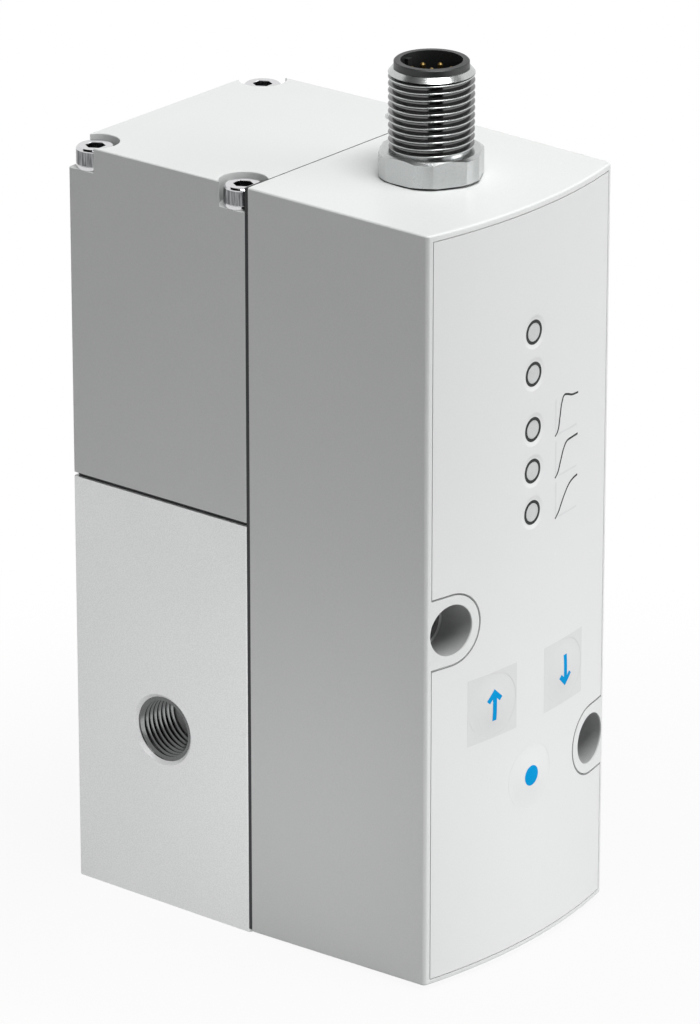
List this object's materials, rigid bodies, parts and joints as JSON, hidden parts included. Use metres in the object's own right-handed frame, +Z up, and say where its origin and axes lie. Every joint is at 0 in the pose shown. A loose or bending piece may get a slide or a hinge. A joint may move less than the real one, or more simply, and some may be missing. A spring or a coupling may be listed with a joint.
{
  "type": "electro pneumatic regulator",
  "caption": "Electro-pneumatic pressure regulator: aluminium valve block with side ports, plastic pilot head and an upright electronics module with keys, lights and a round plug connector.",
  "frame": {"origin": "under the middle of the part's box, on the surface that the valve body stands on", "axes": "+Z up, -Y out of the front with the keys, +X to the right of someone who faces the keys"},
  "size_m": [0.042, 0.0666, 0.1283],
  "materials": {
    "body_aluminium": "bead-blasted, clear anodised",
    "housing_plastic": "fine moulded texture",
    "foil": "satin printed foil",
    "key_grey": "satin printed foil",
    "steel": "bright zinc",
    "nickel": "nickel plated",
    "brass": "turned",
    "gold": "gold plated",
    "rubber": "matt",
    "black_plastic": "moulded",
    "copper": "enamelled wire",
    "board": "solder mask",
    "light_pipe": "milky clear"
  },
  "bodies": {
    "base": {"valve_body": "body_aluminium", "guide_plug": "brass", "plug_seal": "rubber", "retaining_ring": "steel", "stem_seal": "rubber", "poppet_spring": "steel", "valve_seat": "brass", "diaphragm": "rubber", "pilot_head": "housing_plastic", "head_screws": "steel", "lock_washers": "steel", "pilot_manifold": "black_plastic", "solenoid_housings": "steel", "solenoid_coils": "copper", "supply_spring": "steel", "vent_spring": "steel", "joint_gasket": "rubber", "electronics_housing": "housing_plastic", "module_screws": "steel", "spacer_sleeves": "steel", "main_board": "board", "board_screws": "steel", "pressure_sensor": "steel", "sensor_seal": "rubber", "status_lights": "light_pipe", "light_pipes": "light_pipe", "front_foil": "foil", "key_switches": "black_plastic", "connector_shell": "nickel", "connector_nut": "nickel", "connector_seal": "rubber", "connector_insert": "black_plastic", "connector_pins": "gold"},
    "poppet": {"main_poppet": "brass", "poppet_seal": "rubber"},
    "diaphragm_plate": {"diaphragm_pusher": "body_aluminium", "diaphragm_disc": "body_aluminium", "diaphragm_nut": "steel"},
    "supply_pilot": {"supply_armature": "steel"},
    "vent_pilot": {"vent_armature": "steel"},
    "up_button": {"up_key": "key_grey"},
    "down_button": {"down_key": "key_grey"},
    "edit_button": {"edit_key": "foil"}
  },
  "joints": [
    {"name": "poppet_lift", "type": "slide", "parent": "base", "child": "poppet", "axis": [0, 0, 1], "range_m": [-0.0015, 0], "stiffness_N_per_m": 2000, "springref_m": 0.003, "deforming": ["poppet_spring", "diaphragm"]},
    {"name": "plate_lift", "type": "slide", "parent": "poppet", "child": "diaphragm_plate", "axis": [0, 0, 1], "range_m": [0, 0.001], "stiffness_N_per_m": 400, "deforming": ["diaphragm"]},
    {"name": "supply_pilot_stroke", "type": "slide", "parent": "base", "child": "supply_pilot", "axis": [0, 0, 1], "range_m": [0, 0.0005], "stiffness_N_per_m": 800, "springref_m": -0.002, "deforming": ["supply_spring"]},
    {"name": "vent_pilot_stroke", "type": "slide", "parent": "base", "child": "vent_pilot", "axis": [0, 0, 1], "range_m": [0, 0.0005], "stiffness_N_per_m": 800, "springref_m": -0.002, "deforming": ["vent_spring"]},
    {"name": "up_press", "type": "slide", "parent": "base", "child": "up_button", "axis": [0.0958, 0.9954, 0], "range_m": [0, 0.0004], "stiffness_N_per_m": 3000},
    {"name": "down_press", "type": "slide", "parent": "base", "child": "down_button", "axis": [-0.0958, 0.9954, 0], "range_m": [0, 0.0004], "stiffness_N_per_m": 3000},
    {"name": "edit_press", "type": "slide", "parent": "base", "child": "edit_button", "axis": [0, 1, 0], "range_m": [0, 0.0004], "stiffness_N_per_m": 3000}
  ]
}
